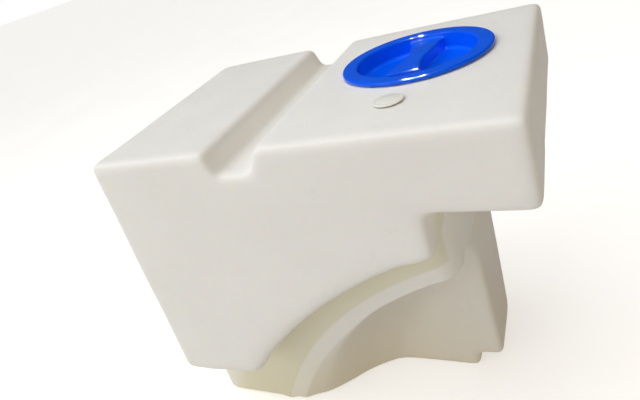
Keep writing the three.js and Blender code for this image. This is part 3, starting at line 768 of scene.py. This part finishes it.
# ---------------------------------------------------------------------------
# Materials
# ---------------------------------------------------------------------------
class Graph:
    """Builds shader nodes in a node tree; values may be numbers, colours or sockets."""

    def __init__(self, tree):
        self.tree = tree

    def put(self, socket, value):
        if isinstance(value, bpy.types.NodeSocket):
            self.tree.links.new(value, socket)
        else:
            socket.default_value = value

    def add(self, kind, inputs={}, **settings):
        node = self.tree.nodes.new("ShaderNode" + kind)
        for key, value in settings.items():
            setattr(node, key, value)
        for key, value in inputs.items():
            self.put(node.inputs[key], value)
        return node

    def ramp(self, value, low, high, start=0.0, end=1.0, kind="LINEAR"):
        """Maps low..high to start..end."""
        inputs = dict(enumerate((value, low, high, start, end)))
        return self.add("MapRange", inputs, interpolation_type=kind).outputs[0]

    def math(self, operation, a, b=0.0):
        return self.add("Math", {0: a, 1: b}, operation=operation).outputs[0]

    def times(self, *values):
        return reduce(lambda a, b: self.math("MULTIPLY", a, b), values)

    def mix(self, factor, a, b, mode="MIX"):
        a, b = ((*c, 1.0) if isinstance(c, tuple) else c for c in (a, b))
        node = self.add("Mix", {}, data_type="RGBA", blend_type=mode)
        for i, value in ((0, factor), (6, a), (7, b)):
            self.put(node.inputs[i], value)
        return node.outputs[2]

    def xyz(self, vector):
        return self.add("SeparateXYZ", {0: vector}).outputs


class Material(Graph):
    def __init__(self, name):
        self.material = bpy.data.materials.new(name)
        self.material.use_nodes = True
        super().__init__(self.material.node_tree)
        self.tree.nodes.clear()
        output = self.add("OutputMaterial")
        self.bsdf = self.add("BsdfPrincipled")
        self.put(output.inputs[0], self.bsdf.outputs[0])
        self.position = self.add("TexCoord").outputs["Object"]

    def surface(self, **inputs):
        """Sets inputs of the surface; an underscore stands for a space."""
        for key, value in inputs.items():
            self.put(self.bsdf.inputs[key.replace("_", " ")], value)

    def noise(self, scale, detail=2.0, rough=0.5, vector=None):
        return self.add("TexNoise", {
            "Vector": vector or self.position, "Scale": scale,
            "Detail": detail, "Roughness": rough,
        }).outputs["Fac"]

    def clouds(self, scale, detail, rough, a, b):
        """Two colours mixed in soft patches."""
        return self.mix(self.ramp(self.noise(scale, detail, rough), 0.3, 0.7), a, b)

    def stretch(self, scale, rotation=(0, 0, 0)):
        inputs = {0: self.position, "Rotation": rotation, "Scale": scale}
        return self.add("Mapping", inputs).outputs[0]

    def bump(self, height, distance, strength, normal=None):
        inputs = {"Strength": strength, "Distance": distance, "Height": height}
        if normal is not None:
            inputs["Normal"] = normal
        return self.add("Bump", inputs).outputs[0]

    def scratches(self, scale, rotation, low, high, distance, strength, normal):
        lines = self.noise(scale=1.0, vector=self.stretch(scale, rotation))
        return self.bump(self.ramp(lines, low, high), distance, strength, normal)

    def edge(self, low=0.52, high=0.62):
        """Mask of the convex edges."""
        return self.ramp(self.add("NewGeometry").outputs["Pointiness"], low, high)

    def occlusion(self, distance):
        return self.add("AmbientOcclusion", {"Distance": distance}, samples=6).outputs["AO"]


def polyethylene():
    """Milky moulding with painted warm shade and a painted glow in the hollows."""
    n = Material("natural_polyethylene")
    p = n.xyz(n.position)

    def along(axis, low, high, start=0.0, end=1.0):
        """Ramp between two places in local millimetres."""
        low, high = ((v + ORIGIN[axis]) / 1000 for v in (low, high))
        return n.ramp(p[axis], low, high, start, end)

    def tinted(mask, strength, colour):
        return n.mix(n.times(mask, strength), base, n.mix(1.0, base, colour, "MULTIPLY"))

    base = n.clouds(7.0, 4.0, 0.55, (0.842, 0.842, 0.822), (0.872, 0.872, 0.854))
    fine = n.noise(scale=46.0, detail=3.0, rough=0.6)
    base = n.mix(n.ramp(fine, 0.35, 0.75, end=0.35), base, (0.84, 0.835, 0.80))
    # Painted shade: warm tint in the hollows from ambient occlusion, turning browner to the right
    # and fainter near the top
    closed = n.ramp(n.occlusion(distance=0.16), 0.25, 0.95, 1.0, 0.0, "SMOOTHSTEP")
    hollow = n.times(closed, n.ramp(p[2], 0.40, 0.45, start=1.0, end=0.35))
    olive = n.mix(along(0, 150, 420), (0.66, 0.60, 0.38), (0.60, 0.52, 0.36))
    base = n.mix(n.times(hollow, 0.50), base, olive)
    # Soft grime and scuffs
    scuff = n.noise(1.0, detail=8.0, rough=0.7, vector=n.stretch((28, 9, 30), (0.3, 0.2, 0.6)))
    base = n.mix(n.ramp(scuff, 0.60, 0.80, end=0.22), base, (0.66, 0.63, 0.55))
    # A few dark specks moulded into the wall
    cells = n.add("TexVoronoi", {"Vector": n.position, "Scale": 38.0}).outputs
    small = n.math("LESS_THAN", cells["Distance"], 0.030)
    few = n.math("GREATER_THAN", n.xyz(cells["Color"])[0], 0.975)
    base = n.mix(n.times(n.times(small, few), 0.75), base, (0.12, 0.10, 0.07))
    # Distance from the axis of the band's arch, in metres
    arch_x, arch_z = (BAND_ARCH[0] + ORIGIN[0]) / 1000, (BAND_ARCH[1] + ORIGIN[2]) / 1000
    arch_r = BAND_ARCH[2] / 1000
    dx, dz = n.math("SUBTRACT", p[0], arch_x), n.math("SUBTRACT", p[2], arch_z)
    distance = n.math("SQRT", n.math("ADD", n.times(dx, dx), n.times(dz, dz)))
    # Painted shade: the recess inside the arch is browner
    recess_shade = n.times(
        n.ramp(distance, arch_r - 0.0016, arch_r + 0.0010, 1.0, 0.0),
        along(1, STEP_Y + 2.5, STEP_Y + 4.5),
        along(0, 150, 430, start=1.0, end=0.45),
        along(1, 366, 386, start=1.0, end=0.0),
    )
    # Painted shade: the step under the front block is olive up to the bevelled band
    beyond = n.times(
        n.ramp(distance, arch_r + 0.0225, arch_r + 0.0255),
        n.ramp(distance, arch_r + 0.104, arch_r + 0.128, 1.0, 0.0),
    )
    depth = n.times(along(1, 12, 48), along(1, 72, 76, start=1.0, end=0.0))
    step = n.times(beyond, depth, along(2, SLAB_Z - 30, SLAB_Z - 4, start=1.0, end=0.0))
    # Painted shade laid into the base colour: on the step under the front block and in the recess
    base = tinted(step, 0.85, (0.89, 0.87, 0.73))
    base = tinted(recess_shade, 0.75, (0.86, 0.82, 0.76))
    n.surface(
        Base_Color=base,
        # Painted glow: the hollows emit a warm light that stands in for bounced light.
        Emission_Color=(1.0, 0.90, 0.62, 1.0),
        Emission_Strength=n.times(hollow, 0.135),
        Roughness=n.ramp(n.noise(scale=22.0, detail=5.0, rough=0.6), 0.3, 0.75, 0.36, 0.50),
        IOR=1.51,
        Subsurface_Weight=0.38,
        Subsurface_Radius=(1.0, 0.86, 0.60),
        Subsurface_Scale=0.006,
    )
    # Grain of the mould, orange peel, slow waves and fine scratches
    grain = n.bump(n.noise(scale=1500.0), distance=0.00012, strength=0.35)
    peel = n.bump(n.noise(scale=170.0, detail=3.0), 0.00035, 0.45, normal=grain)
    waves = n.bump(n.noise(scale=26.0, rough=0.4), 0.0011, 0.5, normal=peel)
    n.surface(Normal=n.scratches(
        (900, 26, 500), (0.1, 0.0, 0.9), low=0.66, high=0.72,
        distance=0.00006, strength=0.35, normal=waves,
    ))
    return n.material


def gloss_blue():
    """Glossy blue moulding with lightly worn edges."""
    n = Material("blue_moulding_gloss")
    base = n.clouds(24.0, 3.0, 0.5, (0.001, 0.100, 0.840), (0.001, 0.116, 0.900))
    patches = n.noise(scale=160.0, detail=4.0, rough=0.6)
    wear = n.times(n.edge(0.515, 0.56), n.ramp(patches, 0.42, 0.62))
    haze = n.noise(1.0, detail=5.0, rough=0.6, vector=n.stretch((60, 300, 80), (0, 0, 0.5)))
    n.surface(
        Base_Color=n.mix(n.times(wear, 0.30), base, (0.10, 0.26, 0.85)),
        Roughness=n.ramp(haze, 0.35, 0.8, 0.045, 0.09),
        IOR=1.50,
        Specular_IOR_Level=0.24,
    )
    sink = n.bump(n.noise(scale=34.0, rough=0.4), distance=0.0007, strength=0.45)
    peel = n.bump(n.noise(scale=420.0), 0.00010, 0.30, normal=sink)
    n.surface(Normal=n.scratches(
        (1500, 40, 900), (0.0, 0.1, 0.35), low=0.68, high=0.73,
        distance=0.00004, strength=0.4, normal=peel,
    ))
    return n.material


def moulding(name, colours, roughness, worn, grain=900.0, depth=0.00006, subsurface=0.0):
    """Plain plastic or rubber: clouded colour, worn edges and a fine grain."""
    n = Material(name)
    base = n.clouds(60.0, 4.0, 0.55, *colours)
    patches = n.noise(scale=240.0, detail=3.0, rough=0.6)
    wear = n.times(n.edge(), n.ramp(patches, 0.4, 0.6, end=0.5))
    n.surface(
        Base_Color=n.mix(wear, base, worn),
        Roughness=n.ramp(n.noise(scale=90.0, detail=4.0, rough=0.6), 0.3, 0.75, *roughness),
        Subsurface_Weight=subsurface,
        Subsurface_Scale=0.003,
    )
    fine = n.bump(n.noise(scale=grain), depth, strength=0.5)
    n.surface(Normal=n.bump(n.noise(scale=80.0), 0.0004, strength=0.3, normal=fine))
    return n.material


def steel():
    n = Material("screw_steel")
    brushed = n.noise(1.0, detail=4.0, rough=0.6, vector=n.stretch((700, 700, 4000)))
    n.surface(
        Base_Color=n.mix(n.ramp(brushed, 0.35, 0.65), (0.50, 0.51, 0.53), (0.66, 0.67, 0.69)),
        Metallic=1.0,
        Roughness=n.ramp(n.noise(scale=600.0, detail=3.0, rough=0.6), 0.3, 0.7, 0.24, 0.42),
        Normal=n.bump(brushed, distance=0.00003, strength=0.4),
    )
    return n.material


materials = {
    "polyethylene": polyethylene(),
    "blue_moulding": gloss_blue(),
    "white_moulding": moulding(
        "white_moulding_satin", ((0.66, 0.66, 0.63), (0.73, 0.73, 0.70)),
        roughness=(0.34, 0.48), worn=(0.80, 0.80, 0.77), subsurface=0.15,
    ),
    "port_white": moulding(
        "port_plug_gloss", ((0.83, 0.83, 0.79), (0.87, 0.87, 0.83)),
        roughness=(0.10, 0.18), worn=(0.88, 0.87, 0.82),
        grain=260.0, depth=0.0001, subsurface=0.25,
    ),
    "black_moulding": moulding(
        "black_moulding_satin", ((0.020, 0.021, 0.023), (0.036, 0.037, 0.040)),
        roughness=(0.30, 0.48), worn=(0.10, 0.10, 0.11),
    ),
    "rubber": moulding(
        "seal_rubber", ((0.014, 0.014, 0.015), (0.030, 0.030, 0.031)),
        roughness=(0.62, 0.82), worn=(0.07, 0.07, 0.07), grain=1400.0, depth=0.00008,
    ),
    "soft_seal": moulding(
        "port_seal_soft", ((0.50, 0.49, 0.44), (0.60, 0.59, 0.54)),
        roughness=(0.55, 0.72), worn=(0.62, 0.61, 0.57),
    ),
    "steel": steel(),
}
for piece, slot in pieces:
    piece.data.materials.clear()
    piece.data.materials.append(materials[slot])


# ---------------------------------------------------------------------------
# Stage: pale floor, soft studio light, camera (metres)
# ---------------------------------------------------------------------------
def floor_material():
    """Pale sheet; what the camera sees of it glows, so it keeps only part of the shadow."""
    n = Material("studio_floor")
    camera_ray = n.add("LightPath").outputs["Is Camera Ray"]
    n.surface(
        Base_Color=n.clouds(3.0, 3.0, 0.5, (0.72, 0.71, 0.69), (0.76, 0.75, 0.73)),
        Roughness=n.ramp(n.noise(scale=40.0, detail=3.0), 0.3, 0.7, 0.65, 0.8),
        Specular_IOR_Level=0.2,
        Emission_Color=(1, 1, 1, 1),
        Emission_Strength=n.times(camera_ray, 0.50),
    )
    return n.material


def build_floor(half=90.0, gap=0.0006):
    material = floor_material()
    mesh = bpy.data.meshes.new("studio_floor")
    corners = [(-half, -half, 0), (half, -half, 0), (half, half, 0), (-half, half, 0)]
    mesh.from_pydata(corners, [], [(0, 1, 2, 3)])
    floor = bpy.data.objects.new("studio_floor", mesh)
    scene.collection.objects.link(floor)
    floor.location.z = SHELL_LO[2] - gap
    mesh.materials.append(material)


def build_world():
    """Soft room: bright above and to the left, dim and warm to the right, dim in mirrors."""
    world = bpy.data.worlds.new("studio")
    world.use_nodes = True
    scene.world = world
    n = Graph(world.node_tree)
    axes = n.xyz(n.add("TexCoord").outputs["Generated"])
    to_right = n.ramp(axes[0], -0.35, 0.85, kind="SMOOTHSTEP")
    upward = n.ramp(axes[2], -0.15, 0.75, kind="SMOOTHSTEP")
    tint = n.mix(to_right, (0.97, 0.985, 1.0), (0.84, 0.66, 0.44))
    sideways = n.math("SUBTRACT", 1.0, n.times(to_right, 0.66))
    level = n.times(sideways, n.math("ADD", 0.42, n.times(upward, 0.50)))
    ray = n.add("LightPath").outputs
    mirror = n.math("SUBTRACT", 1.0, n.times(ray["Is Glossy Ray"], 0.90))
    # The camera itself sees plain white.
    camera_ray = ray["Is Camera Ray"]
    level = n.math("MAXIMUM", n.times(level, mirror), camera_ray)
    background = world.node_tree.nodes["Background"]
    n.put(background.inputs[0], n.mix(camera_ray, tint, (1, 1, 1)))
    n.put(background.inputs[1], level)


def area(name, at, target, size, power, colour=(1, 1, 1)):
    light = bpy.data.lights.new(name, "AREA")
    light.shape = "RECTANGLE"
    light.size, light.size_y = size
    light.energy = power
    light.color = colour
    light.spread = math.pi
    lamp = bpy.data.objects.new(name, light)
    scene.collection.objects.link(lamp)
    lamp.location = at
    lamp.rotation_mode = "QUATERNION"
    lamp.rotation_quaternion = (Vector(target) - Vector(at)).to_track_quat("-Z", "Y")
    return lamp


def build_lights():
    # name, place, target, size, power, colour
    area("key", (-1.3, -0.9, 2.3), (0, 0, 0.35), (1.8, 1.4), 15, (0.985, 0.995, 1.0))
    area("top", (0.15, -0.1, 2.4), (0.05, 0, 0.45), (1.5, 1.2), 7.0, (0.99, 1.0, 1.0))
    area("front", (-1.2, -2.2, 0.9), (0, 0, 0.25), (1.6, 1.2), 10, (1.0, 0.96, 0.885))
    # Two small lamps that only make highlights on the lid
    glints = bpy.data.collections.new("glossy_mouldings")
    glints.objects.link(bpy.data.objects["hatch_lid_moulding"])
    for name, x in (("lamp_a", -0.05), ("lamp_b", 0.30)):
        lamp = area(name, (x, -0.25, 2.3), (0.14, 0.0, 0.49), (0.11, 0.26), 300.0)
        lamp.visible_diffuse = False
        lamp.light_linking.receiver_collection = glints
    area("right_fill", (1.9, -0.7, 0.7), (0.2, 0.0, 0.3), (0.9, 0.9), 1.8, (1.0, 0.77, 0.50))


def build_camera():
    """Looks down at the tank from its front right; the place is from the shell's low corner."""
    lens = bpy.data.cameras.new("camera")
    lens.sensor_width = 36.0
    lens.lens = 30.72375
    lens.shift_x = 0.07921875
    lens.shift_y = -0.09390625
    lens.clip_start, lens.clip_end = 0.02, 60.0
    camera = bpy.data.objects.new("camera", lens)
    scene.collection.objects.link(camera)
    right = Vector((0.853778, 0.414862, -0.314567))
    down = Vector((-0.101502, -0.459970, -0.882114))
    ahead = Vector((-0.510647, 0.785059, -0.350603))
    turn = Matrix((right, -down, -ahead)).transposed()
    place = Vector((0.59494, -0.46351, 0.70734)) + SHELL_LO
    camera.matrix_world = Matrix.Translation(place) @ turn.to_4x4()
    scene.camera = camera


build_floor()
build_world()
build_lights()
build_camera()
scene.view_settings.view_transform = "Standard"
scene.view_settings.look = "None"

bpy.context.view_layer.update()
